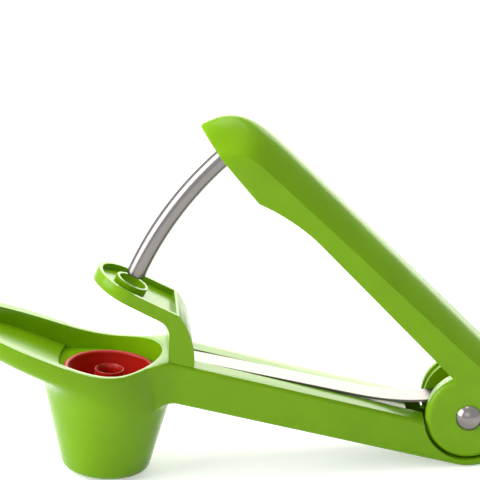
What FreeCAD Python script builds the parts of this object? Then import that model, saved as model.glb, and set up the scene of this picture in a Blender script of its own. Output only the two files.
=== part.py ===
"""Hand-held cherry pitter with a lever, millimetres.

The foot of the cup stands at z = 0 with its centre at the origin, +X runs along the
handle to the hinge and the part is symmetric about the XZ plane. The lever is open.
"""
import FreeCAD, Part
import math
import os

V = FreeCAD.Vector

# Cup and pit outlet
CUP_FOOT_R = 13.3
CUP_TAPER_DEG = 14.2
CUP_WALL = 2.3
CUP_BLEND_R = 4.0
CUP_FLOOR = 2.2
FOOT_ROUNDING = 3.4
OUTLET_R = 8.0

# Cup insert, a soft ring bowl with a raised collar
INSERT_TOP_Z = 33.5
INSERT_FLANGE_R = 14.3
INSERT_FLANGE_THICK = 1.4
INSERT_BOWL_R = 12.6
INSERT_WALL = 1.3
INSERT_LIP_WIDTH = 1.5
INSERT_DEPTH = 10.3
INSERT_COLLAR_R = 4.6
INSERT_HOLE_R = 3.75
INSERT_COLLAR_DROP = 0.8
INSERT_FUNNEL_DEPTH = 1.3

# Tray, the boat-shaped basin round the insert
BOAT_CENTRE_X = -9.0
BOAT_HALF_WIDTH = 20.7
BOAT_BOW = 43.0
BOAT_STERN = 27.0
BOAT_WALL = 1.9
BOAT_RIM_LOW = (2.6, 36.9)
BOAT_RIM_SLOPE_START = (-14.0, 39.9)
BOAT_RIM_SLOPE = 0.35
RAMP_END_X = -13.6
RAMP_END_Z = 33.3
RAMP_SLOPE = 0.42
SEAT_EDGE_X = -15.9
SEAT_EDGE_R = 66.0
BASIN_CENTRE_X = -4.0
BASIN_SIDE_WALL = 2.3

# Handle
HANDLE_HALF_WIDTH = 12.5
HANDLE_DECK_AT_ARM = (26.0, 37.9)
HANDLE_DECK_DEG = 12.05
HANDLE_UNDER_DEG = 11.5
HANDLE_WALL = 2.2
HANDLE_DECK_THICK = 3.1
HANDLE_NECK_X = 22.0
HANDLE_TOP_EDGE_R = 1.3
HANDLE_LOW_EDGE_R = 1.6
HANDLE_RIBS_X = (44.0, 66.0)
RIB_THICK = 1.6

# Hinge
PIVOT_X = 111.8
PIVOT_Z = 23.8
DECK_END_BACK = 18.8
CHEEK_R = 13.4
CHEEK_THICK = 3.9
CHEEK_EDGE_R = 1.8
HINGE_GAP = 0.6
LIP_THICK = 2.2
LIP_END_DEG = 36.0
STOP_GAP_DEG = 1.2
EAR_R = 12.8
EAR_THICK = 2.8
EAR_REACH = 4.2
PIN_R = 2.5
PIN_HEAD_R = 4.1
PIN_HEAD_H = 2.2
PIN_TAIL_R = 1.9
BUSH_WALL = 1.2
RUNNING_FIT = 0.05
FACE_GAP = 0.3

# Lever, drawn with its underside level: u runs from the pivot to the nose, n away from the handle
LEVER_REST_DEG = 44.7
LEVER_SIDE_STEP = 0.3
LEVER_WALL = 2.3
LEVER_UNDER_N = 5.2
LEVER_BACK_R = 17.2
BROW_U = 8.0
NOSE_PAST_ROD = 12.5
HEEL_BEFORE_ROD = 15.4
HEEL_N = 0.55
HEEL_CURVE_LENGTH = 23.0
LEVER_NOSE_RISE_DEG = 4.1
LEVER_RIBS_U = (38.0, 66.0)

# Plunger rod, bent to an arc about the pivot
ROD_R = 3.0
ROD_LEAD = 0.15
ROD_TIP_DEG = 20.8
ROD_TIP_ROUNDING = 0.5
ROD_TOP_N = 10.6
ROD_BOSS_R = 5.6
ROD_BOSS_N = 4.2
ROD_FIT = 0.05
ROD_PIN_R = 1.0
ROD_PIN_N = 7.4

# Guide arm
ARM_SIDE_STEP = 0.9
ARM_CREASE = (20.4, 54.9)
ARM_PLATE_DEG = 25.0
ARM_PLATE_THICK = 3.7
ARM_COLUMN_FRONT_X = 17.6
ARM_COLUMN_BACK_X = 25.7
ARM_BACK_BULGE = 1.5
ARM_BEND_R = 5.5
ARM_RIM_WIDTH = 1.3
ARM_RIM_HEIGHT = 1.8
ARM_RECESS_TO_CREASE = 0.8
GUIDE_HOLE_R = 4.4
GUIDE_COLLAR_WALL = 0.9
GUIDE_COLLAR_PROUD = 0.3

# Arm screws, up through the deck
SCREW_R = 1.4
SCREW_HEAD_R = 2.7
SCREW_HEAD_H = 1.9
SCREW_LENGTH = 9.5
SCREW_TO_WALL = 0.4
SCREW_FIT = 0.05
SCREW_NECK = 0.5
SCREW_TIP_GAP = 0.5

# Leaf spring
SPRING_HALF_WIDTH = 4.5
SPRING_THICK = 0.8
SPRING_START_X = 19.2
SPRING_DEG = 10.7
SPRING_LIFT_BACK = 35.8
SPRING_DIP = (18.3, 2.0)
SPRING_SUNK = 0.45
SPRING_SLOT_GAP = 0.4
SPRING_TIP_REACH = 11.0
SPRING_BAR_R = 1.8
SPRING_BAR = (9.4, 3.55)


PIVOT = V(PIVOT_X, 0, PIVOT_Z)
DECK_END_X = PIVOT_X - DECK_END_BACK
LEVER_HALF_WIDTH = HANDLE_HALF_WIDTH - LEVER_SIDE_STEP
ARM_HALF_WIDTH = HANDLE_HALF_WIDTH - ARM_SIDE_STEP
SCREW_SPREAD_Y = HANDLE_HALF_WIDTH - HANDLE_WALL - SCREW_HEAD_R - SCREW_TO_WALL
ROD_ARC_R = math.hypot(PIVOT_X, INSERT_TOP_Z - PIVOT_Z) + ROD_LEAD
LEVER_NOSE_U = ROD_ARC_R + NOSE_PAST_ROD
HEEL_U = ROD_ARC_R - HEEL_BEFORE_ROD


def slope(degrees):
    return math.tan(math.radians(degrees))


def deck_z(x):
    """Height of the handle's flat top at x."""
    return HANDLE_DECK_AT_ARM[1] - (x - HANDLE_DECK_AT_ARM[0]) * slope(HANDLE_DECK_DEG)


LIP_R = CHEEK_R + HINGE_GAP + LIP_THICK
DECK_END_Z = deck_z(DECK_END_X)
EAR_OUT_Y = LEVER_HALF_WIDTH - CHEEK_THICK - FACE_GAP
EAR_IN_Y = EAR_OUT_Y - EAR_THICK
SEAT_Z = INSERT_TOP_Z - INSERT_FLANGE_THICK
ARM_FOOT_X = (ARM_COLUMN_FRONT_X + ARM_COLUMN_BACK_X) / 2


def under_z(x):
    """Height of the handle's underside at x, a line that touches the hinge lip's circle."""
    drop = LIP_R / math.cos(math.radians(HANDLE_UNDER_DEG))
    return PIVOT.z - drop - (x - PIVOT.x) * slope(HANDLE_UNDER_DEG)


def cup_r(z):
    """Outer radius of the cup at height z."""
    return CUP_FOOT_R + z * slope(CUP_TAPER_DEG)


def ramp_z(x):
    """Height of the tray's sloping floor at x."""
    return RAMP_END_Z - RAMP_SLOPE * (x - RAMP_END_X)


def edges_wire(*edges):
    return Part.Wire([e.toShape() if hasattr(e, "toShape") else e for e in edges])


def line(a, b):
    return Part.LineSegment(V(*a), V(*b))


def arc(a, b, c):
    return Part.Arc(V(*a), V(*b), V(*c))


def side_face(points):
    """Face in the XZ plane through (x, z) points joined by straight lines."""
    corners = [V(x, 0, z) for x, z in points]
    return Part.Face(Part.makePolygon(corners + corners[:1]))


def across(face, y0, y1):
    """Extrude an XZ face from y0 to y1."""
    moved = face.copy()
    moved.translate(V(0, y0, 0))
    return moved.extrude(V(0, y1 - y0, 0))


def disc(radius, y0, y1, centre=PIVOT):
    """Round solid across the handle, centred on a point."""
    return Part.makeCylinder(radius, y1 - y0, V(centre.x, y0, centre.z), V(0, 1, 0))


def fuse(first, *others):
    return first.fuse(list(others)).removeSplitter()


def cut(first, *others):
    return first.cut(list(others))


def rounded(shape, radius, test):
    """Fillet the edges that pass a test on their middle point and the edge itself."""
    chosen = [e for e in shape.Edges if test(e.valueAt((e.FirstParameter + e.LastParameter) / 2), e)]
    return shape.makeFillet(radius, chosen).Solids[0]


def net_surface(rows):
    """Smooth cubic surface over a net of control points, ending on the outer rows."""
    def knots(count):
        inner = count - 3
        return [i / inner for i in range(inner + 1)], [4] + [1] * (inner - 1) + [4]
    surface = Part.BSplineSurface()
    u_knots, u_mults = knots(len(rows))
    v_knots, v_mults = knots(len(rows[0]))
    surface.buildFromPolesMultsKnots(rows, u_mults, v_mults, u_knots, v_knots, False, False, 3, 3)
    return surface.toShape()


# Tray hull: level outlines from the round cup up to the wide rim

HULL_LEVELS = (
    # z, bow end, stern end, half width, squareness of the bow
    (0.0, None, None, None, 2.0),
    (6.0, None, None, None, 2.0),
    (12.0, None, None, None, 2.0),
    (17.0, None, None, None, 2.0),
    (21.5, None, None, None, 2.0),
    (25.5, None, None, None, 2.0),
    (29.0, -20.4, 19.2, 20.1, 2.05),
    (32.0, -22.0, 19.0, 20.5, 2.3),
    (34.5, -26.2, 18.8, 20.65, 2.8),
    (37.0, -31.6, 18.5, 20.7, 3.2),
    (39.6, -37.0, 18.2, 20.7, 3.3),
    (42.4, -43.0, 18.0, 20.7, 3.0),
    (45.4, -48.6, 18.0, 20.7, 2.6),
    (48.6, -51.4, 18.0, 20.7, 2.2),
    (52.5, -52.0, 18.0, 20.7, 2.0),
    (58.0, -52.0, 18.0, 20.7, 2.0),
)
HULL_POINTS = 28


def hull_outline(z, bow, stern, half_width, squareness):
    """Control points of a level outline: squarish half ellipse to the bow, plain to the stern."""
    centre = 0.0
    if bow is None:
        half_width = cup_r(z)
        bow, stern = -half_width, half_width
    else:
        centre = BOAT_CENTRE_X * min(1.0, (z - 25.5) / 12.0)
    swell = 1 + (2 * math.pi / HULL_POINTS) ** 2 / 6
    points = []
    for i in range(HULL_POINTS + 1):
        turn = 2 * math.pi * (i % HULL_POINTS) / HULL_POINTS
        c, s = math.cos(turn), math.sin(turn)
        power = 2.0 if c > 0 else squareness
        reach = stern - centre if c > 0 else centre - bow
        x = centre + swell * math.copysign(abs(c) ** (2 / power), c) * reach
        y = swell * math.copysign(abs(s) ** (2 / power), s) * half_width
        points.append(V(x, y, z))
    return points


def hull():
    side = net_surface([hull_outline(*level) for level in HULL_LEVELS])
    ends = []
    for z in (HULL_LEVELS[0][0], HULL_LEVELS[-1][0]):
        rim = [e for e in side.Edges if abs(e.BoundBox.ZMin - z) < 0.01 and abs(e.BoundBox.ZMax - z) < 0.01]
        ends.append(Part.Face(Part.Wire(rim)))
    return Part.Solid(Part.Shell([side.reversed()] + ends))


def above_rim():
    """Everything over the tray's rim line and the handle's deck, as a solid to take away."""
    x0 = BOAT_CENTRE_X - BOAT_BOW - 8
    start_x, start_z = BOAT_RIM_SLOPE_START
    left_z = start_z + (start_x - x0) * BOAT_RIM_SLOPE
    end = (ARM_COLUMN_FRONT_X, deck_z(ARM_COLUMN_FRONT_X))
    rim = Part.BSplineCurve()
    middle = [V(start_x, 0, start_z), V(BOAT_RIM_LOW[0], 0, BOAT_RIM_LOW[1]), V(end[0], 0, end[1])]
    rim.interpolate(Points=middle, InitialTangent=V(1, 0, -BOAT_RIM_SLOPE), FinalTangent=V(1, 0, 0.15))
    top = 90.0
    far_x = PIVOT.x + 40
    wire = edges_wire(
        line((x0, 0, left_z), (start_x, 0, start_z)),
        rim,
        line((end[0], 0, end[1]), (far_x, 0, deck_z(far_x))),
        line((far_x, 0, deck_z(far_x)), (far_x, 0, top)),
        line((far_x, 0, top), (x0, 0, top)),
        line((x0, 0, top), (x0, 0, left_z)),
    )
    return across(Part.Face(wire), -40, 40)


def basin():
    """The hollow of the tray: ramp to the left, level floor round the insert."""
    half = BOAT_HALF_WIDTH - BASIN_SIDE_WALL
    side = V(BASIN_CENTRE_X, half, 0)
    centre = V(BASIN_CENTRE_X, 0, 0)
    left = Part.Ellipse(V(BOAT_CENTRE_X - BOAT_BOW + BOAT_WALL, 0, 0), side, centre)
    right = Part.Ellipse(V(BOAT_CENTRE_X + BOAT_STERN - BOAT_WALL, 0, 0), side, centre)
    left_arc = Part.Edge(left, -math.pi / 2, math.pi / 2)
    right_arc = Part.Edge(right, -math.pi / 2, math.pi / 2)
    plan = Part.Face(Part.Wire([left_arc, right_arc])).extrude(V(0, 0, 90))
    x0 = BOAT_CENTRE_X - BOAT_BOW - 5
    x1 = BOAT_CENTRE_X + BOAT_STERN + 5
    flat_x = RAMP_END_X + (RAMP_END_Z - SEAT_Z) / RAMP_SLOPE
    under = side_face([(x0, ramp_z(x0)), (flat_x, SEAT_Z), (x1, SEAT_Z), (x1, -60), (x0, -60)])
    seat_side = Part.makeCylinder(SEAT_EDGE_R, 12, V(SEAT_EDGE_X + SEAT_EDGE_R, 0, SEAT_Z))
    return fuse(plan.cut(across(under, -40, 40)), plan.common(seat_side))


def handle_block():
    """Outer block of the handle, flared into the tray at the neck."""
    x0 = 6.0
    flare = BOAT_HALF_WIDTH * math.sqrt(1 - ((x0 - BOAT_CENTRE_X) / BOAT_STERN) ** 2) - 0.6
    middle_x = x0 + 0.55 * (HANDLE_NECK_X - x0)
    middle_y = HANDLE_HALF_WIDTH + 0.22 * (flare - HANDLE_HALF_WIDTH)
    sides = []
    for s in (1, -1):
        curve = Part.BSplineCurve()
        points = [V(x0, s * flare, 0), V(middle_x, s * middle_y, 0), V(HANDLE_NECK_X, s * HANDLE_HALF_WIDTH, 0)]
        curve.interpolate(Points=points, InitialTangent=V(1, -0.62 * s, 0), FinalTangent=V(1, 0, 0))
        sides.append(curve.toShape())
    far_x = PIVOT.x + LIP_R + 5
    h = HANDLE_HALF_WIDTH
    outline = Part.Wire([
        sides[0],
        line((HANDLE_NECK_X, h, 0), (far_x, h, 0)).toShape(),
        line((far_x, h, 0), (far_x, -h, 0)).toShape(),
        line((far_x, -h, 0), (HANDLE_NECK_X, -h, 0)).toShape(),
        sides[1],
        line((x0, -flare, 0), (x0, flare, 0)).toShape(),
    ])
    plan = Part.Face(outline).extrude(V(0, 0, 60))
    return plan.common(across(handle_side(x0), -30, 30))


def handle_side(x0):
    """Side view of the handle: deck, level sill, hinge lip and underside."""
    touch_x = PIVOT.x - LIP_R * math.sin(math.radians(HANDLE_UNDER_DEG))
    touch_z = PIVOT.z - LIP_R * math.cos(math.radians(HANDLE_UNDER_DEG))
    end = math.radians(-90 + LIP_END_DEG)
    end_x = PIVOT.x + LIP_R * math.cos(end)
    end_z = PIVOT.z + LIP_R * math.sin(end)
    low = V(PIVOT.x, 0, PIVOT.z - LIP_R)
    wire = edges_wire(
        line((x0, 0, deck_z(x0)), (DECK_END_X, 0, DECK_END_Z)),
        line((DECK_END_X, 0, DECK_END_Z), (PIVOT.x, 0, DECK_END_Z)),
        line((PIVOT.x, 0, DECK_END_Z), (end_x, 0, end_z)),
        Part.Arc(V(end_x, 0, end_z), low, V(touch_x, 0, touch_z)),
        line((touch_x, 0, touch_z), (x0, 0, under_z(x0))),
        line((x0, 0, under_z(x0)), (x0, 0, deck_z(x0))),
    )
    return Part.Face(wire)


def handle_hollow():
    """The channel under the deck, open below, left whole round the cup and at the ribs."""
    y = HANDLE_HALF_WIDTH - HANDLE_WALL
    x0 = 14.0
    x1 = DECK_END_X - HANDLE_WALL
    roof = HANDLE_DECK_THICK / math.cos(math.radians(HANDLE_DECK_DEG))
    face = side_face([
        (x0, deck_z(x0) - roof), (x1, deck_z(x1) - roof), (x1, under_z(x1) - 5), (x0, under_z(x0) - 5),
    ])
    hollow = across(face, -y, y)
    keep = Part.makeCone(CUP_FOOT_R, cup_r(INSERT_TOP_Z), INSERT_TOP_Z)
    stern = Part.makeCylinder(BOAT_CENTRE_X + BOAT_STERN, 40)
    hollow = hollow.cut([keep, stern])
    for x in HANDLE_RIBS_X:
        rib = Part.makeBox(RIB_THICK, 60, 30, V(x, -30, under_z(x) + 1.5))
        hollow = hollow.cut(rib)
    return hollow


def hinge_well():
    """The spring's slot deepened behind the deck, between two solid side blocks, down to a floor."""
    y = SPRING_HALF_WIDTH + SPRING_SLOT_GAP
    x0 = DECK_END_X
    x1 = PIVOT.x
    floor = HANDLE_WALL / math.cos(math.radians(HANDLE_UNDER_DEG))
    face = side_face([(x0, 60), (x1, 60), (x1, under_z(x1) + floor), (x0, under_z(x0) + floor)])
    return across(face, -y, y)


def hinge_ears():
    """Two plates that carry the pin, standing on the lip and clipped behind the pin."""
    foot_r = CHEEK_R + HINGE_GAP + 0.5 * LIP_THICK
    ears = []
    for y0 in (EAR_IN_Y, -EAR_OUT_Y):
        y1 = y0 + EAR_THICK
        reach = Part.makeBox(60, 60, 60, V(PIVOT.x + EAR_REACH, -30, PIVOT.z - 30))
        upper = Part.makeBox(60, 60, 60, V(PIVOT.x - 30, -30, PIVOT.z - 4))
        foot = disc(foot_r, y0, y1).cut(upper)
        ears.append(fuse(disc(EAR_R, y0, y1), foot).cut(reach))
    return ears


def spring_slot():
    """Shallow slot in the deck that the leaf spring lies in."""
    y = SPRING_HALF_WIDTH + SPRING_SLOT_GAP
    x0 = SPRING_START_X - SPRING_SLOT_GAP
    x1 = DECK_END_X + 3
    depth = slot_drop()
    face = side_face([
        (x0, deck_z(x0) - depth), (x0, deck_z(x0) + 5), (x1, deck_z(x1) + 5), (x1, deck_z(x1) - depth),
    ])
    return across(face, -y, y)


def slot_drop():
    """Vertical depth of the slot: the strip and a little air over it."""
    return (SPRING_THICK + SPRING_SUNK) / math.cos(math.radians(HANDLE_DECK_DEG))


def foot_edge():
    """Ring to take off round the foot, leaving its lower edge rounded."""
    lean = math.radians(CUP_TAPER_DEG)
    reach = FOOT_ROUNDING / math.tan(math.radians(90 + CUP_TAPER_DEG) / 2)
    a = V(CUP_FOOT_R - reach, 0, 0)
    b = V(CUP_FOOT_R + reach * math.sin(lean), 0, reach * math.cos(lean))
    centre = a + V(0, 0, FOOT_ROUNDING)
    middle = centre + (V(CUP_FOOT_R, 0, 0) - centre).normalize() * FOOT_ROUNDING
    far = CUP_FOOT_R + 5
    wire = Part.Wire([
        Part.makeLine(a, V(a.x, 0, -1)), Part.makeLine(V(a.x, 0, -1), V(far, 0, -1)),
        Part.makeLine(V(far, 0, -1), V(far, 0, b.z)), Part.makeLine(V(far, 0, b.z), b),
        Part.Arc(b, middle, a).toShape(),
    ])
    return Part.Face(wire).revolve(V(0, 0, 0), V(0, 0, 1), 360)


def cup_inside():
    """Cavity of the cup, its outlet and the bore that the insert stands in."""
    wall = CUP_WALL / math.cos(math.radians(CUP_TAPER_DEG))
    ledge = SEAT_Z - 2.6
    cavity = Part.makeCone(cup_r(CUP_FLOOR) - wall, cup_r(ledge) - wall, ledge - CUP_FLOOR, V(0, 0, CUP_FLOOR))
    outlet = Part.makeCylinder(OUTLET_R, CUP_FLOOR + 2, V(0, 0, -1))
    bore = Part.makeCylinder(INSERT_BOWL_R + INSERT_WALL / 4 + 0.1, 10, V(0, 0, ledge - 1))
    return fuse(cavity, outlet, bore)


def screw_places():
    return [V(ARM_FOOT_X, s * SCREW_SPREAD_Y, deck_z(ARM_FOOT_X)) for s in (1, -1)]


def deck_up():
    """Unit normal of the handle's deck."""
    a = math.radians(HANDLE_DECK_DEG)
    return V(math.sin(a), 0, math.cos(a))


def screw_holes(radius, below, above):
    up = deck_up()
    return [Part.makeCylinder(radius, below + above, p - up * below, up) for p in screw_places()]


def round_edges(shell):
    """Round the handle's long edges and blend its underside into the cup."""
    def joins_cup(p, edge):
        on_foot_side = 10 < p.x < HANDLE_NECK_X and p.z < SEAT_Z
        return on_foot_side and edge.Length > 6 and 3 < abs(p.y) < HANDLE_HALF_WIDTH - 1

    def along_handle(p, edge):
        return edge.BoundBox.XLength > 40 and abs(abs(p.y) - HANDLE_HALF_WIDTH) < 0.01

    shell = rounded(shell, CUP_BLEND_R, joins_cup)
    shell = rounded(shell, HANDLE_TOP_EDGE_R, lambda p, e: along_handle(p, e) and p.z > deck_z(p.x) - 1)
    shell = rounded(shell, HANDLE_LOW_EDGE_R, lambda p, e: along_handle(p, e) and p.z < under_z(p.x) + 1)
    return shell


def lower_body():
    """One moulding: tray, cup, handle and hinge end."""
    shell = hull().cut(above_rim())
    shell = round_edges(fuse(shell, handle_block().cut(above_rim())))
    swing = disc(CHEEK_R + HINGE_GAP, -HANDLE_HALF_WIDTH - 1, HANDLE_HALF_WIDTH + 1)
    shell = cut(shell, handle_hollow(), hinge_well(), swing)
    shell = fuse(shell, *hinge_ears())
    shell = cut(shell, basin(), cup_inside(), spring_slot(), foot_edge())
    shell = cut(shell, disc(PIN_R + RUNNING_FIT, -30, 30), *screw_holes(SCREW_R + 2 * SCREW_FIT, 12, 2))
    return shell


def cup_insert():
    """Soft bowl with a flange, a deep ring trough and a raised collar for the stone."""
    top = INSERT_TOP_Z
    seat = SEAT_Z
    low = top - INSERT_DEPTH
    body_r = INSERT_BOWL_R + INSERT_WALL / 4
    inner_r = body_r - INSERT_WALL
    collar_top = top - INSERT_COLLAR_DROP
    crest_r = INSERT_COLLAR_R - 0.35 * (INSERT_COLLAR_R - INSERT_HOLE_R)
    collar_edge = INSERT_COLLAR_R - crest_r
    corner_r = INSERT_COLLAR_R - 0.3 * collar_edge
    lip_r = INSERT_FLANGE_R - INSERT_LIP_WIDTH
    trough = low + INSERT_WALL
    bend = 3.2
    corner = bend * (1 - math.sqrt(0.5))
    wire = edges_wire(
        line((INSERT_HOLE_R, 0, low), (body_r - bend, 0, low)),
        arc((body_r - bend, 0, low), (body_r - corner, 0, low + corner), (body_r, 0, low + bend)),
        line((body_r, 0, low + bend), (body_r, 0, seat)),
        line((body_r, 0, seat), (INSERT_FLANGE_R, 0, seat)),
        line((INSERT_FLANGE_R, 0, seat), (INSERT_FLANGE_R, 0, top - 0.5)),
        arc(
            (INSERT_FLANGE_R, 0, top - 0.5),
            (INSERT_FLANGE_R - 0.15, 0, top - 0.15),
            (INSERT_FLANGE_R - 0.5, 0, top),
        ),
        line((INSERT_FLANGE_R - 0.5, 0, top), (lip_r + 0.8, 0, top)),
        arc((lip_r + 0.8, 0, top), (lip_r + 0.23, 0, top - 0.23), (lip_r, 0, top - 0.8)),
        line((lip_r, 0, top - 0.8), (inner_r, 0, trough + 2.4)),
        arc((inner_r, 0, trough + 2.4), (inner_r - 0.7, 0, trough + 0.7), (inner_r - 2.4, 0, trough)),
        line((inner_r - 2.4, 0, trough), (INSERT_COLLAR_R + 1.6, 0, trough)),
        arc(
            (INSERT_COLLAR_R + 1.6, 0, trough),
            (INSERT_COLLAR_R + 0.7, 0, trough + 0.4),
            (INSERT_COLLAR_R + 0.25, 0, trough + 1.4),
        ),
        line((INSERT_COLLAR_R + 0.25, 0, trough + 1.4), (INSERT_COLLAR_R, 0, collar_top - collar_edge)),
        arc(
            (INSERT_COLLAR_R, 0, collar_top - collar_edge),
            (corner_r, 0, collar_top - 0.3 * collar_edge),
            (crest_r, 0, collar_top),
        ),
        line((crest_r, 0, collar_top), (INSERT_HOLE_R, 0, collar_top - INSERT_FUNNEL_DEPTH)),
        line((INSERT_HOLE_R, 0, collar_top - INSERT_FUNNEL_DEPTH), (INSERT_HOLE_R, 0, low)),
    )
    return Part.Face(wire).revolve(V(0, 0, 0), V(0, 0, 1), 360)


# Guide arm

def plate_point(x):
    """Point on the arm plate's top line at x."""
    return (x, ARM_CREASE[1] + (ARM_CREASE[0] - x) * slope(ARM_PLATE_DEG))


def plate_up():
    a = math.radians(ARM_PLATE_DEG)
    return V(math.sin(a), 0, math.cos(a))


def guide_centre():
    """Where the plate's top line crosses the rod's arc."""
    up = plate_up()
    along = V(-up.z, 0, up.x)
    crease = V(ARM_CREASE[0], 0, ARM_CREASE[1])
    to_pivot = crease - PIVOT
    b = to_pivot.dot(along)
    c = to_pivot.dot(to_pivot) - ROD_ARC_R ** 2
    return crease + along * (-b + math.sqrt(b * b - c))


def arm_side():
    """Side view of the guide arm: sloping plate, bend, column and foot on the deck."""
    up = plate_up()
    tip_x = guide_centre().x - 20
    tip = plate_point(tip_x)
    under_tip = V(tip[0], 0, tip[1]) - up * ARM_PLATE_THICK
    front = ARM_COLUMN_FRONT_X
    back = ARM_COLUMN_BACK_X
    knee_x = front - ARM_BEND_R
    knee = V(knee_x, 0, plate_point(knee_x)[1]) - V(0, 0, (ARM_PLATE_THICK + 0.5) / up.z)
    knee_end = V(front, 0, knee.z - ARM_BEND_R * 1.15)
    bend = Part.BSplineCurve()
    plate_way = V(up.z, 0, -up.x) * 8
    bend.interpolate(Points=[knee, knee_end], InitialTangent=plate_way, FinalTangent=V(0, 0, -1) * 8)
    crease = V(ARM_CREASE[0], 0, ARM_CREASE[1])
    heel = V(back, 0, deck_z(back))
    middle = (crease + heel) * 0.5 + V(ARM_BACK_BULGE, 0, ARM_BACK_BULGE * 0.3)
    wire = edges_wire(
        line((tip[0], 0, tip[1]), tuple(crease)),
        Part.Arc(crease, middle, heel),
        line(tuple(heel), (front, 0, deck_z(front))),
        line((front, 0, deck_z(front)), tuple(knee_end)),
        bend,
        line(tuple(knee), tuple(under_tip)),
        line(tuple(under_tip), (tip[0], 0, tip[1])),
    )
    return Part.Face(wire)


def plate_outline(half_width, right_x, z_low, height):
    """Solid over the plate: straight sides and a half-round left end about the guide hole."""
    up = plate_up()
    centre = guide_centre()
    along = V(up.z, 0, -up.x)
    reach = (right_x - centre.x) / up.z
    a = centre + V(0, half_width, 0)
    b = centre + along * reach + V(0, half_width, 0)
    c = centre + along * reach - V(0, half_width, 0)
    d = centre - V(0, half_width, 0)
    left = centre - along * half_width
    wire = Part.Wire([
        Part.makeLine(a, b), Part.makeLine(b, c), Part.makeLine(c, d),
        Part.Arc(d, left, a).toShape(),
    ])
    face = Part.Face(wire)
    face.translate(up * z_low)
    return face.extrude(up * height)


def guide_arm():
    """Column and plate with a raised rim and a collar round the rod's guide hole."""
    body = across(arm_side(), -ARM_HALF_WIDTH, ARM_HALF_WIDTH)
    body = body.common(plate_outline(ARM_HALF_WIDTH, ARM_COLUMN_BACK_X + 30, -60, 80))
    up = plate_up()
    centre = guide_centre()
    floor = centre - up * ARM_RIM_HEIGHT
    recess_end_x = ARM_CREASE[0] - ARM_RECESS_TO_CREASE
    recess = plate_outline(ARM_HALF_WIDTH - ARM_RIM_WIDTH, recess_end_x, -ARM_RIM_HEIGHT, 20)
    collar_r = GUIDE_HOLE_R + GUIDE_COLLAR_WALL
    collar = Part.makeCylinder(collar_r, ARM_RIM_HEIGHT + GUIDE_COLLAR_PROUD, floor, up)
    hole = Part.makeCylinder(GUIDE_HOLE_R, 40, centre - up * 20, up)
    body = body.cut(recess)
    body = fuse(body, collar)
    screw_reach = SCREW_LENGTH - SCREW_NECK - HANDLE_DECK_THICK
    body = cut(body, hole, *screw_holes(SCREW_R + SCREW_FIT, 2, screw_reach + SCREW_TIP_GAP))
    return body


def arm_screws():
    """Two pan-head screws, heads under the deck, shanks up into the arm's foot."""
    up = deck_up()
    solids = []
    for p in screw_places():
        seat = p - up * HANDLE_DECK_THICK
        shank = Part.makeCylinder(SCREW_R, SCREW_LENGTH, seat - up * SCREW_NECK, up)
        head = Part.makeCylinder(SCREW_HEAD_R, SCREW_HEAD_H, seat - up * SCREW_HEAD_H, up)
        solids.append(fuse(head, shank))
    return Part.makeCompound(solids)


def spring_side():
    """Side view of the strip: straight out of its slot, then bowed up over the hinge bush."""
    a = math.radians(SPRING_DEG)
    start = V(SPRING_START_X, 0, deck_z(SPRING_START_X) - slot_drop() + RUNNING_FIT)
    run = PIVOT_X - SPRING_LIFT_BACK - start.x
    rise = start + V(run, 0, -run * slope(SPRING_DEG))
    bush_top = PIVOT_Z + PIN_R + RUNNING_FIT + BUSH_WALL + 0.1
    bar_top = PIVOT_Z + SPRING_BAR[1] + SPRING_BAR_R + 0.5
    dip = V(PIVOT_X - SPRING_DIP[0], 0, bush_top - SPRING_DIP[1])
    under = [rise, dip, V(PIVOT_X, 0, bush_top), V(PIVOT_X + SPRING_TIP_REACH, 0, bar_top)]
    tangents = (V(math.cos(a), 0, -math.sin(a)), V(1, 0, 0.18))
    lower = Part.BSplineCurve()
    lower.interpolate(Points=under, InitialTangent=tangents[0], FinalTangent=tangents[1])
    thick = V(math.sin(a), 0, math.cos(a)) * SPRING_THICK
    lifted = [under[0] + thick] + [p + V(0, 0, SPRING_THICK) for p in under[1:]]
    upper = Part.BSplineCurve()
    upper.interpolate(Points=lifted, InitialTangent=tangents[0], FinalTangent=tangents[1])
    wire = Part.Wire([
        Part.makeLine(start, rise), lower.toShape(), Part.makeLine(under[-1], lifted[-1]),
        upper.toShape(), Part.makeLine(lifted[0], start + thick), Part.makeLine(start + thick, start),
    ])
    return Part.Face(wire)


def leaf_spring():
    return across(spring_side(), -SPRING_HALF_WIDTH, SPRING_HALF_WIDTH)


# Lever, built level and then turned up to its open place

LEVER_BODY_STATIONS = 10
LEVER_BACK_END_U = -30.0
LEVER_NOSE_STATIONS = (31.0, 25.0, 20.0, 16.0, 13.0, 10.4, 8.3, 6.5, 4.9, 3.5, 2.3, 1.3, 0.6, 0.2)
LEVER_COLUMNS = 12
LEVER_BASE_N = -40.0
NOSE_TAPER_LENGTH = 20.9
CROWN_TAPER_LENGTH = 40.0
LEVER_CROWN_N = 19.3
LEVER_CROWN_FALL = 0.021
LEVER_SIDE_N = 14.1
LEVER_SIDE_FALL = 0.043
LEVER_LOW_N = -6.0
SIDE_END_LENGTH = 8.3


def lever_stations():
    """Places along the lever for the rows of the net, closer together at the nose."""
    last = LEVER_NOSE_U - LEVER_NOSE_STATIONS[0]
    step = (last - LEVER_BACK_END_U) / LEVER_BODY_STATIONS
    body = [LEVER_BACK_END_U + step * i for i in range(LEVER_BODY_STATIONS)]
    return body + [LEVER_NOSE_U - back for back in LEVER_NOSE_STATIONS]


def lever_half_width(u):
    t = max(0.0, u - LEVER_NOSE_U + NOSE_TAPER_LENGTH) / NOSE_TAPER_LENGTH
    return LEVER_HALF_WIDTH * (1 - min(t, 1.0) ** 2.6) ** 0.4545


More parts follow.
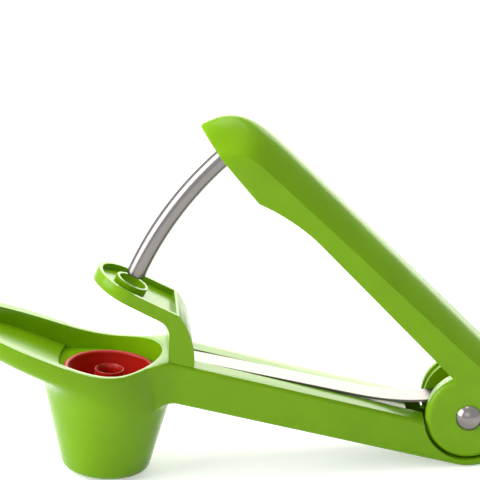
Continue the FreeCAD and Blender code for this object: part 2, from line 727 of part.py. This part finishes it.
def lever_crown_n(u):
    """Height of the lever's ridge line."""
    t = max(0.0, u - LEVER_NOSE_U + CROWN_TAPER_LENGTH) / (CROWN_TAPER_LENGTH + 0.4)
    round_off = (1 - min(t, 1.0) ** 6) ** 0.4545
    return (LEVER_CROWN_N - LEVER_CROWN_FALL * u + 3) * round_off - 3


def lever_side_n(u):
    """Height where the flat side meets the arched top."""
    fade = 1 / (1 + math.exp((u - LEVER_NOSE_U + SIDE_END_LENGTH) / 2.2))
    return LEVER_LOW_N + (LEVER_SIDE_N - LEVER_LOW_N - LEVER_SIDE_FALL * u) * fade


def lever_skin(inset=0.0):
    """Arched top surface: columns run across, rows run along the stations."""
    rows = []
    for u in lever_stations():
        half = lever_half_width(u) - inset
        if half < 0.5:
            continue
        toward_nose = min(1.0, max(0.0, (u - LEVER_NOSE_U + 25.0) / 20.0))
        side_n, crown_n = lever_side_n(u), lever_crown_n(u)
        row = []
        for i in range(LEVER_COLUMNS + 1):
            t = 2.0 * i / LEVER_COLUMNS - 1.0
            n = side_n + (crown_n - side_n) * (1 - t * t) ** 0.85 - inset
            row.append(V(-u + inset * toward_nose, half * t, n))
        rows.append(row)
    return net_surface(rows)


def lever_mass(inset=0.0):
    """Everything under the arched surface, as a solid."""
    solid = lever_skin(inset).extrude(V(0, 0, LEVER_BASE_N))
    half = LEVER_HALF_WIDTH - inset
    room = 2 * LEVER_NOSE_U
    return solid.common(Part.makeBox(2 * room, 2 * half, room, V(-room, -half, -room / 2)))


def lever_side():
    """Side view of the lever: cheek, straight underside, hollow curve, heel and nose."""
    far = LEVER_NOSE_U + 5
    heel_u, heel_n = HEEL_U, HEEL_N
    curve_u = HEEL_U - HEEL_CURVE_LENGTH
    tip_n = heel_n + (far - heel_u) * slope(LEVER_NOSE_RISE_DEG)
    start_u = math.sqrt(CHEEK_R ** 2 - LEVER_UNDER_N ** 2)
    middle_u = 0.5 * (curve_u + heel_u)
    hollow_start = V(-curve_u, 0, LEVER_UNDER_N)
    hollow_end = V(-heel_u, 0, heel_n)
    curve = Part.BSplineCurve()
    points = [hollow_start, V(-middle_u, 0, LEVER_UNDER_N - 1.25), hollow_end]
    curve.interpolate(Points=points, InitialTangent=V(-1, 0, 0), FinalTangent=V(-1, 0, -0.42))
    step = math.radians(LEVER_REST_DEG + LIP_END_DEG - 90 + STOP_GAP_DEG)
    disc_end = V(CHEEK_R * math.cos(step), 0, CHEEK_R * math.sin(step))
    back_start = V(LEVER_BACK_R * math.cos(step), 0, LEVER_BACK_R * math.sin(step))
    shoulder = V(LEVER_BACK_R * math.cos(math.radians(48)), 0, LEVER_BACK_R * math.sin(math.radians(48)))
    brow = Part.BSplineCurve()
    brow.interpolate(
        Points=[V(-BROW_U, 0, lever_crown_n(BROW_U)), shoulder],
        InitialTangent=V(1, 0, -LEVER_CROWN_FALL) * 22,
        FinalTangent=V(shoulder.z, 0, -shoulder.x) * 1.0,
    )
    middle = math.radians(math.degrees(step) / 2 + 24)
    back_mid = V(LEVER_BACK_R * math.cos(middle), 0, LEVER_BACK_R * math.sin(middle))
    cheek_start = V(-start_u, 0, LEVER_UNDER_N)
    wire = Part.Wire([
        Part.makeLine(cheek_start, hollow_start),
        curve.toShape(),
        Part.makeLine(hollow_end, V(-far, 0, tip_n)),
        Part.makeLine(V(-far, 0, tip_n), V(-far, 0, 30)),
        Part.makeLine(V(-far, 0, 30), V(-BROW_U, 0, 30)),
        Part.makeLine(V(-BROW_U, 0, 30), V(-BROW_U, 0, lever_crown_n(BROW_U))),
        brow.toShape(),
        Part.Arc(shoulder, back_mid, back_start).toShape(),
        Part.makeLine(back_start, disc_end),
        Part.Arc(disc_end, V(0, 0, -CHEEK_R), cheek_start).toShape(),
    ])
    return Part.Face(wire)


def fork_gap():
    """Room between the cheeks for the ears, closed at the back."""
    cheek_in = LEVER_HALF_WIDTH - CHEEK_THICK
    drum = Part.makeCylinder(LEVER_BACK_R - LEVER_WALL, 2 * cheek_in, V(0, -cheek_in, 0), V(0, 1, 0))
    roof = LEVER_BACK_R - LEVER_WALL - 0.9
    drum = drum.common(Part.makeBox(40, 60, 60, V(-20, -30, -60 + roof)))
    box = Part.makeBox(24, 2 * cheek_in, 46 + roof, V(-24, -cheek_in, -46))
    return fuse(drum, box)


def to_rest(shape):
    """Turn a shape drawn level about the pivot into the open lever's place."""
    placed = shape.copy()
    placed.rotate(V(0, 0, 0), V(0, 1, 0), LEVER_REST_DEG)
    placed.translate(PIVOT)
    return placed


def rod_solid(radius, from_deg, to_deg):
    """Round bar bent about the pivot, between two angles above the level."""
    start = math.radians(from_deg)
    centre = PIVOT + V(-ROD_ARC_R * math.cos(start), 0, ROD_ARC_R * math.sin(start))
    tangent = V(math.sin(start), 0, math.cos(start))
    circle = Part.Face(Part.Wire([Part.makeCircle(radius, centre, tangent)]))
    return circle.revolve(PIVOT, V(0, 1, 0), to_deg - from_deg)


def rod_top_deg():
    return LEVER_REST_DEG + math.degrees(math.asin(ROD_TOP_N / ROD_ARC_R))


def rod_pin_centre():
    """Centre of the cross pin, on the rod's arc."""
    angle = math.radians(LEVER_REST_DEG) + math.asin(ROD_PIN_N / ROD_ARC_R)
    return PIVOT + V(-ROD_ARC_R * math.cos(angle), 0, ROD_ARC_R * math.sin(angle))


def on_cheek_rim(p, edge):
    """Tells the round outer edges of the two cheeks, in the lever's level place."""
    near_disc = abs(math.hypot(p.x, p.z) - CHEEK_R) < 0.05
    return near_disc and abs(abs(p.y) - LEVER_HALF_WIDTH) < 0.05 and edge.Length > CHEEK_R


def lever():
    """Hollow lever, open below, with cheeks, ribs, rod boss and the spring's bar."""
    side = across(lever_side(), -30, 30)
    outer = rounded(lever_mass().common(side), CHEEK_EDGE_R, on_cheek_rim)
    inner = lever_mass(LEVER_WALL)
    inner = inner.cut(Part.makeBox(60, 60, 120, V(-CHEEK_R - 2, -30, -80)))
    shell = outer.cut(inner).cut(fork_gap())
    keep_in = lever_mass(LEVER_WALL / 2).common(side)
    boss = Part.makeCylinder(ROD_BOSS_R, 20, V(-ROD_ARC_R, 0, ROD_BOSS_N))
    web = Part.makeBox(RIB_THICK, 60, 30, V(-ROD_ARC_R - RIB_THICK / 2, -30, ROD_BOSS_N + 2))
    ribs = [Part.makeBox(RIB_THICK, 60, 30, V(-u, -30, LEVER_UNDER_N + 3)) for u in LEVER_RIBS_U]
    extra = [s.common(keep_in) for s in [boss, web] + ribs]
    shell = fuse(shell, *extra)
    shell = to_rest(shell)
    bar_centre = V(PIVOT.x + SPRING_BAR[0], 0, PIVOT.z + SPRING_BAR[1])
    cheek_in = LEVER_HALF_WIDTH - CHEEK_THICK
    bar = disc(SPRING_BAR_R, -cheek_in - 0.5, cheek_in + 0.5, bar_centre)
    shell = fuse(shell, bar)
    bore = rod_solid(ROD_R + ROD_FIT, LEVER_REST_DEG - 5, rod_top_deg() + 0.05)
    pin_hole = disc(ROD_PIN_R + ROD_FIT, -ROD_BOSS_R - 1, ROD_BOSS_R + 1, rod_pin_centre())
    return cut(shell, bore, pin_hole, disc(PIN_R + RUNNING_FIT, -30, 30))


def plunger_rod():
    rod = rod_solid(ROD_R, ROD_TIP_DEG, rod_top_deg())
    tip = math.radians(ROD_TIP_DEG)
    centre = PIVOT + V(-ROD_ARC_R * math.cos(tip), 0, ROD_ARC_R * math.sin(tip))
    near_tip = [e for e in rod.Edges if e.BoundBox.Center.distanceToPoint(centre) < 0.5 and e.isClosed()]
    rod = rod.makeFillet(ROD_TIP_ROUNDING, near_tip)
    return rod.cut(disc(ROD_PIN_R + ROD_FIT, -10, 10, rod_pin_centre()))


def rod_pin():
    return disc(ROD_PIN_R, -ROD_BOSS_R, ROD_BOSS_R, rod_pin_centre())


# Hinge pin

def dome(y_base, outward):
    """Shallow domed head about the pivot axis, flat face at y_base."""
    bulge_r = (PIN_HEAD_R ** 2 + PIN_HEAD_H ** 2) / (2 * PIN_HEAD_H)
    tall = y_base + outward * PIN_HEAD_H
    middle_r = PIN_HEAD_R * 0.6
    middle = y_base + outward * (PIN_HEAD_H - bulge_r + math.sqrt(bulge_r ** 2 - middle_r ** 2))
    p = PIVOT
    wire = Part.Wire([
        Part.makeLine(V(p.x, y_base, p.z), V(p.x + PIN_HEAD_R, y_base, p.z)),
        Part.Arc(V(p.x + PIN_HEAD_R, y_base, p.z), V(p.x + middle_r, middle, p.z), V(p.x, tall, p.z)).toShape(),
        Part.makeLine(V(p.x, tall, p.z), V(p.x, y_base, p.z)),
    ])
    return Part.Face(wire).revolve(p, V(0, 1, 0), 360)


def pivot_pin():
    """Pin with a domed head on the near side and a thinner tail for the cap."""
    face_y = LEVER_HALF_WIDTH + FACE_GAP
    shank = disc(PIN_R, -face_y, face_y - 2)
    tail = disc(PIN_TAIL_R, face_y - 2, face_y + 0.6)
    return fuse(dome(-face_y, -1), shank, tail)


def pivot_cap():
    """Domed cap pressed on the pin's tail."""
    face_y = LEVER_HALF_WIDTH + FACE_GAP
    sleeve = disc(PIN_R, face_y - 2, face_y)
    cap = fuse(dome(face_y, 1), sleeve)
    return cap.cut(disc(PIN_TAIL_R + 0.02, face_y - 3, face_y + 0.62))


def hinge_bush():
    """Spacer tube on the pin between the ears, which the spring bears on."""
    y = EAR_IN_Y - 0.05
    outer = disc(PIN_R + RUNNING_FIT + BUSH_WALL, -y, y)
    return outer.cut(disc(PIN_R + RUNNING_FIT, -y - 1, y + 1))


PARTS = {
    "lower_body": lower_body,
    "cup_insert": cup_insert,
    "guide_arm": guide_arm,
    "arm_screws": arm_screws,
    "leaf_spring": leaf_spring,
    "lever": lever,
    "plunger_rod": plunger_rod,
    "rod_pin": rod_pin,
    "pivot_pin": pivot_pin,
    "pivot_cap": pivot_cap,
    "hinge_bush": hinge_bush,
}

os.makedirs("parts", exist_ok=True)
for name, make in PARTS.items():
    shape = make()
    solids = len(shape.Solids)
    print(name, "solids", solids, "valid", shape.isValid(), "volume", round(shape.Volume, 1))
    shape.exportStep("parts/" + name + ".step")
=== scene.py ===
"""Looks of a hand-held cherry pitter: green ABS mouldings, a red silicone cup and steel fittings."""
import bmesh
import bpy
import math
from mathutils import Matrix, Vector


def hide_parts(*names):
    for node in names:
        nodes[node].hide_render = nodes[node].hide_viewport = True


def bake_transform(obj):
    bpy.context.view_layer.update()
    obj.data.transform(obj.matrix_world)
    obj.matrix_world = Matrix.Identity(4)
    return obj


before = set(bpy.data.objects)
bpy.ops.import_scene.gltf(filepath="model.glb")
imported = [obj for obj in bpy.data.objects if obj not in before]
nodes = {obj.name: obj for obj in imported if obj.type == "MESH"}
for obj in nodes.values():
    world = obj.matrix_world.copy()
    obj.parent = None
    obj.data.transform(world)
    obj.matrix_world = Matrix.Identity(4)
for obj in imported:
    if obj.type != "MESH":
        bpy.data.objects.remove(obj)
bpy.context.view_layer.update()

MM = 0.001


# Nodes

def linear(hex_colour):
    """sRGB hex to linear RGBA."""
    values = [int(hex_colour[i:i + 2], 16) / 255 for i in (1, 3, 5)]
    return tuple(v / 12.92 if v <= 0.04045 else ((v + 0.055) / 1.055) ** 2.4 for v in values) + (1.0,)


def add(tree, kind, settings=None, values=None, links=None):
    """Adds a node: settings are its own properties, values its inputs, links inputs fed by outputs."""
    node = tree.nodes.new(kind)
    for key, value in (settings or {}).items():
        setattr(node, key, value)
    for key, value in (values or {}).items():
        node.inputs[key].default_value = value
    for key, output in (links or {}).items():
        tree.links.new(output, node.inputs[key])
    return node


def new_material(name):
    """Empty node material, its tree and its output node."""
    material = bpy.data.materials.new(name)
    material.use_nodes = True
    tree = material.node_tree
    tree.nodes.clear()
    return material, tree, tree.nodes.new("ShaderNodeOutputMaterial")


def noise(tree, size_mm, detail):
    """Noise from 0 to 1 that stays with the piece, its spots about size_mm wide."""
    place = add(tree, "ShaderNodeTexCoord")
    spots = add(tree, "ShaderNodeTexNoise", values={
        "Scale": 1 / (size_mm * MM),
        "Detail": detail,
    }, links={"Vector": place.outputs["Object"]})
    return spots.outputs["Fac"]


def between(tree, factor, low, high):
    """Value that goes from low to high as the factor goes from 0 to 1."""
    spread = add(tree, "ShaderNodeMapRange", values={"To Min": low, "To Max": high}, links={"Value": factor})
    return spread.outputs[0]


def greater(tree, first, second):
    """The greater of two values."""
    node = add(tree, "ShaderNodeMath", {"operation": "MAXIMUM"}, links={0: first, 1: second})
    return node.outputs[0]


def times(tree, value, number):
    """A value multiplied by a number."""
    node = add(tree, "ShaderNodeMath", {"operation": "MULTIPLY"}, values={1: number}, links={0: value})
    return node.outputs[0]


# Materials, with the sizes of their patterns in millimetres

PIGMENT_CLOUDS = 14
PIGMENT_DEEP, PIGMENT_PALE = 0.9, 1.1
ABS_GRAIN = 0.35
ABS_GLOSS_SPREAD = 0.03
FLOW_RIPPLE = 7
RIPPLE_HEIGHT, RIPPLE_STRENGTH = 0.05, 0.12
SILICONE_GRAIN = 0.5
SILICONE_GLOSS_SPREAD = 0.04
STEEL_GLOSSIEST, STEEL_DULLEST = 0.8, 1.3


def moulded_abs(name, colour, roughness):
    """Glossy injection-moulded ABS: clouds of slightly deeper and paler pigment, faint flow ripple
    and a fine grain in its gloss, so that lamps mirror softly and edges catch light."""
    material, tree, output = new_material(name)
    base = linear(colour)
    tint = add(tree, "ShaderNodeMix", {"data_type": "RGBA"}, links={
        "Factor": noise(tree, PIGMENT_CLOUDS, 2.0),
    })
    tint.inputs["A"].default_value = tuple(c * PIGMENT_DEEP for c in base[:3]) + (1.0,)
    tint.inputs["B"].default_value = tuple(min(1.0, c * PIGMENT_PALE) for c in base[:3]) + (1.0,)
    gloss = between(tree, noise(tree, ABS_GRAIN, 1.0),
                    roughness - ABS_GLOSS_SPREAD, roughness + ABS_GLOSS_SPREAD)
    waves = add(tree, "ShaderNodeBump", values={
        "Strength": RIPPLE_STRENGTH,
        "Distance": RIPPLE_HEIGHT * MM,
    }, links={"Height": noise(tree, FLOW_RIPPLE, 1.0)})
    shader = add(tree, "ShaderNodeBsdfPrincipled", values={
        "IOR": 1.54,
        "Specular IOR Level": 0.16,
        "Sheen Weight": 0.16,
        "Sheen Roughness": 0.2,
    }, links={
        "Base Color": tint.outputs["Result"],
        "Roughness": gloss,
        "Normal": waves.outputs[0],
    })
    tree.links.new(shader.outputs[0], output.inputs["Surface"])
    return material


def silicone_rubber(name, colour, roughness):
    """Moulded silicone: deep red, satin, with a soft pale bloom at grazing angles."""
    material, tree, output = new_material(name)
    gloss = between(tree, noise(tree, SILICONE_GRAIN, 1.0),
                    roughness - SILICONE_GLOSS_SPREAD, roughness + SILICONE_GLOSS_SPREAD)
    shader = add(tree, "ShaderNodeBsdfPrincipled", values={
        "Base Color": linear(colour),
        "IOR": 1.43,
        "Specular IOR Level": 0.4,
        "Sheen Weight": 0.08,
        "Sheen Roughness": 0.4,
    }, links={"Roughness": gloss})
    tree.links.new(shader.outputs[0], output.inputs["Surface"])
    return material


def steel(name, colour, roughness, patch_mm):
    """Stainless steel: bright and mirror-like, with small patches where its gloss varies."""
    material, tree, output = new_material(name)
    gloss = between(tree, noise(tree, patch_mm, 2.0),
                    roughness * STEEL_GLOSSIEST, roughness * STEEL_DULLEST)
    shader = add(tree, "ShaderNodeBsdfPrincipled", values={
        "Base Color": linear(colour),
        "Metallic": 1.0,
    }, links={"Roughness": gloss})
    tree.links.new(shader.outputs[0], output.inputs["Surface"])
    return material


# The body's green is a little deeper than the lever's: painted shade for the handle's side, which faces
# slightly down.
shaded_body_green = moulded_abs("green ABS body with painted shade", "#79AA04", 0.2)
lever_green = moulded_abs("green ABS lever", "#7DB006", 0.2)
red_silicone = silicone_rubber("red silicone", "#B41408", 0.32)
polished_steel = steel("polished stainless rod", "#827E7C", 0.2, 0.4)
rolled_steel = steel("rolled spring steel", "#75716F", 0.32, 0.2)

FINISH = {
    "lower_body": (shaded_body_green, "body_plastic"),
    "guide_arm": (shaded_body_green, "body_plastic"),
    "lever": (lever_green, "lever_plastic"),
    "cup_insert": (red_silicone, "insert_rubber"),
    "plunger_rod": (polished_steel, "polished_steel"),
    "pivot_pin": (polished_steel, "polished_steel"),
    "pivot_cap": (polished_steel, "polished_steel"),
    "leaf_spring": (rolled_steel, "spring_steel"),
    "hinge_bush": (rolled_steel, "spring_steel"),
    "rod_pin": (rolled_steel, "spring_steel"),
    "arm_screws": (rolled_steel, "screw_steel"),
}


# Rounded edges of the four mouldings

EDGE_MM = {"lower_body": 0.6, "guide_arm": 0.45, "lever": 0.6, "cup_insert": 0.25}
EDGE_STEPS = 3
SHARP_DEG = 32
JOIN_WITHIN = 0.00001


def round_edges(piece, width_mm):
    """Joins the corners of the CAD mesh and rounds the edges that are sharper than SHARP_DEG."""
    weld = piece.modifiers.new("join corners", "WELD")
    weld.merge_threshold = JOIN_WITHIN
    edge = piece.modifiers.new("rounded edges", "BEVEL")
    edge.width = width_mm * MM
    edge.segments = EDGE_STEPS
    edge.limit_method = "ANGLE"
    edge.angle_limit = math.radians(SHARP_DEG)
    edge.harden_normals = True
    edge.use_clamp_overlap = True


for name, (material, slot_name) in FINISH.items():
    piece = nodes[name]
    piece.data.materials.clear()
    piece.data.materials.append(material)
    if name in EDGE_MM:
        round_edges(piece, EDGE_MM[name])


# Leaf spring: the CAD strip's own form, cut fine where it runs over the hinge

FIRST_CUT_MM = 100
CUTS = 24
CUT_TOUCH = 1e-7


def bending_strip():
    """Copy of the strip, cut across at every millimetre, shown in place of the CAD strip."""
    source = nodes["leaf_spring"]
    mesh = source.data.copy()
    mesh.transform(source.matrix_world)
    piece = bpy.data.objects.new("leaf_spring_bending", mesh)
    bpy.context.scene.collection.objects.link(piece)
    work = bmesh.new()
    work.from_mesh(mesh)
    bmesh.ops.remove_doubles(work, verts=work.verts, dist=JOIN_WITHIN)
    for step in range(CUTS):
        x = (FIRST_CUT_MM + step) * MM
        everything = work.verts[:] + work.edges[:] + work.faces[:]
        bmesh.ops.bisect_plane(work, geom=everything, dist=CUT_TOUCH, plane_co=(x, 0, 0), plane_no=(1, 0, 0))
    work.to_mesh(mesh)
    work.free()
    for face in mesh.polygons:
        face.use_smooth = False
    mesh.materials.clear()
    mesh.materials.append(rolled_steel)
    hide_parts("leaf_spring")
    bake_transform(piece)


bending_strip()


# Studio: white floor that keeps the shadow, and white surroundings

PAPER = (0.9, 0.9, 0.9, 1)
PAPER_LIFT = 0.45
FOOT_EDGE = Vector((10.45, 0, 0)) * MM
LEAN_DEG = 4.27
FLOOR_SIZE = 6.0
FLOOR_GAP = 0.00005
WHITE = (1, 1, 1, 1)
FILL_STRENGTH = 0.18
SEEN_STRENGTH = 1.0


def seen_directly(tree):
    """1 for camera, glossy and transmission rays, 0 for the light that falls on things."""
    rays = add(tree, "ShaderNodeLightPath")
    mirrored = greater(tree, rays.outputs["Is Glossy Ray"], rays.outputs["Is Transmission Ray"])
    return greater(tree, rays.outputs["Is Camera Ray"], mirrored)


def white_ground(name):
    """Matt white paper; what the lens, steel and plastic see of it is lifted to white."""
    material, tree, output = new_material(name)
    lift = times(tree, seen_directly(tree), PAPER_LIFT)
    paper = add(tree, "ShaderNodeBsdfDiffuse", values={"Color": PAPER})
    glow = add(tree, "ShaderNodeEmission", values={"Color": WHITE}, links={"Strength": lift})
    both = add(tree, "ShaderNodeAddShader", links={0: paper.outputs[0], 1: glow.outputs[0]})
    tree.links.new(both.outputs[0], output.inputs["Surface"])
    return material


def leaning_floor():
    """Floor under the cup foot's edge and the handle's end, where the open pitter tips to rest."""
    bpy.ops.mesh.primitive_plane_add(size=FLOOR_SIZE, location=(0, 0, 0))
    floor = bpy.context.object
    floor.name = "floor"
    lean = Matrix.Rotation(math.radians(-LEAN_DEG), 4, "Y")
    floor.matrix_world = Matrix.Translation(FOOT_EDGE) @ lean @ Matrix.Translation((0, 0, -FLOOR_GAP))
    floor.data.materials.append(white_ground("white paper"))


def white_world():
    """Plain white to the eye and in reflections, with only a little light of its own."""
    world = bpy.data.worlds.new("studio")
    bpy.context.scene.world = world
    world.use_nodes = True
    tree = world.node_tree
    tree.nodes.clear()
    output = tree.nodes.new("ShaderNodeOutputWorld")
    seen = seen_directly(tree)
    fill = add(tree, "ShaderNodeBackground", values={"Color": WHITE, "Strength": FILL_STRENGTH})
    white = add(tree, "ShaderNodeBackground", values={"Color": WHITE, "Strength": SEEN_STRENGTH})
    mix = add(tree, "ShaderNodeMixShader", links={0: seen, 1: fill.outputs[0], 2: white.outputs[0]})
    tree.links.new(mix.outputs[0], output.inputs["Surface"])


leaning_floor()
white_world()


# Lamps: places, aims and sizes in millimetres, power in watts

WARM = (1.0, 0.98, 0.9)
NEUTRAL = (1.0, 1.0, 1.0)


def towards(place, aim, axis):
    """Turn that points an object's axis from its place to the aim."""
    return (Vector(aim) - Vector(place)).to_track_quat(axis, "Y")


def shine_card(name, place, aim, size, strength):
    """Bright card that shows only as a reflection in gloss and steel."""
    material, tree, output = new_material(name)
    material.cycles.emission_sampling = "NONE"
    rays = add(tree, "ShaderNodeLightPath")
    level = times(tree, rays.outputs["Is Glossy Ray"], strength)
    glow = add(tree, "ShaderNodeEmission", values={"Color": WARM + (1,)}, links={"Strength": level})
    tree.links.new(glow.outputs[0], output.inputs["Surface"])
    bpy.ops.mesh.primitive_plane_add(size=1.0)
    card = bpy.context.object
    card.name = name
    card.data.materials.append(material)
    turn = towards(place, aim, "Z").to_matrix().to_4x4()
    stretch = Matrix.Diagonal((size[0] * MM, size[1] * MM, 1, 1))
    card.matrix_world = Matrix.Translation(Vector(place) * MM) @ turn @ stretch
    card.visible_camera = False
    card.visible_diffuse = False
    card.visible_shadow = False


def soft_lamp(name, place, aim, size, power, colour=NEUTRAL):
    """Softbox at a place, facing a point."""
    data = bpy.data.lights.new(name, "AREA")
    data.shape = "RECTANGLE"
    data.size, data.size_y = size[0] * MM, size[1] * MM
    data.energy = power
    data.color = colour
    lamp = bpy.data.objects.new(name, data)
    bpy.context.scene.collection.objects.link(lamp)
    lamp.location = Vector(place) * MM
    lamp.rotation_mode = "QUATERNION"
    lamp.rotation_quaternion = towards(place, aim, "-Z")
    return lamp


# The back softbox only lights; in reflections the card stands in for it.
shine_card("white wall", (300, 1700, 800), (60, 200, 300), (2600, 1700), 4.8)
back_box = soft_lamp("back softbox", (300, 1600, 800), (60, 200, 300), (2400, 1500), 24.0, WARM)
back_box.visible_glossy = False
soft_lamp("left softbox", (-1000, -250, 520), (20, 0, 50), (900, 900), 15.0)
soft_lamp("top softbox", (-150, 300, 1500), (30, 0, 30), (1000, 1000), 13.0, WARM)
soft_lamp("front fill", (-250, -1300, 700), (30, 0, 40), (900, 700), 2.0)


# Camera at the photograph's angle: RING falls on the picture's RING_PX

RING = Vector((0, 0, 33.5)) * MM
RING_PX = (109.6, 365.8)
PICTURE_PX = 480
MM_PER_PX = 0.311
YAW, LIFT, ROLL = math.radians(-3.7), math.radians(19.9), math.radians(2.8)
LENS_MM, SENSOR_MM = 400, 36
NEAREST, FARTHEST = 0.05, 20


def photo_camera():
    """Long lens that looks at the part as the photographer's did."""
    focal_px = PICTURE_PX * LENS_MM / SENSOR_MM
    distance = MM_PER_PX * focal_px * MM
    back = Vector((math.sin(YAW) * math.cos(LIFT), -math.cos(YAW) * math.cos(LIFT), math.sin(LIFT)))
    level_right = Vector((math.cos(YAW), math.sin(YAW), 0))
    level_up = back.cross(level_right)
    right = level_right * math.cos(ROLL) + level_up * math.sin(ROLL)
    up = level_up * math.cos(ROLL) - level_right * math.sin(ROLL)
    across = (RING_PX[0] - PICTURE_PX / 2) / focal_px
    above = (PICTURE_PX / 2 - RING_PX[1]) / focal_px
    place = RING - (right * across + up * above - back) * distance
    lens = bpy.data.cameras.new("photo lens")
    lens.lens = LENS_MM
    lens.sensor_width = SENSOR_MM
    lens.clip_start = NEAREST
    lens.clip_end = FARTHEST
    camera = bpy.data.objects.new("photo camera", lens)
    bpy.context.scene.collection.objects.link(camera)
    turn = Matrix((right, up, back)).transposed().to_4x4()
    camera.matrix_world = Matrix.Translation(place) @ turn
    bpy.context.scene.camera = camera


photo_camera()
bpy.context.scene.view_settings.view_transform = "Standard"
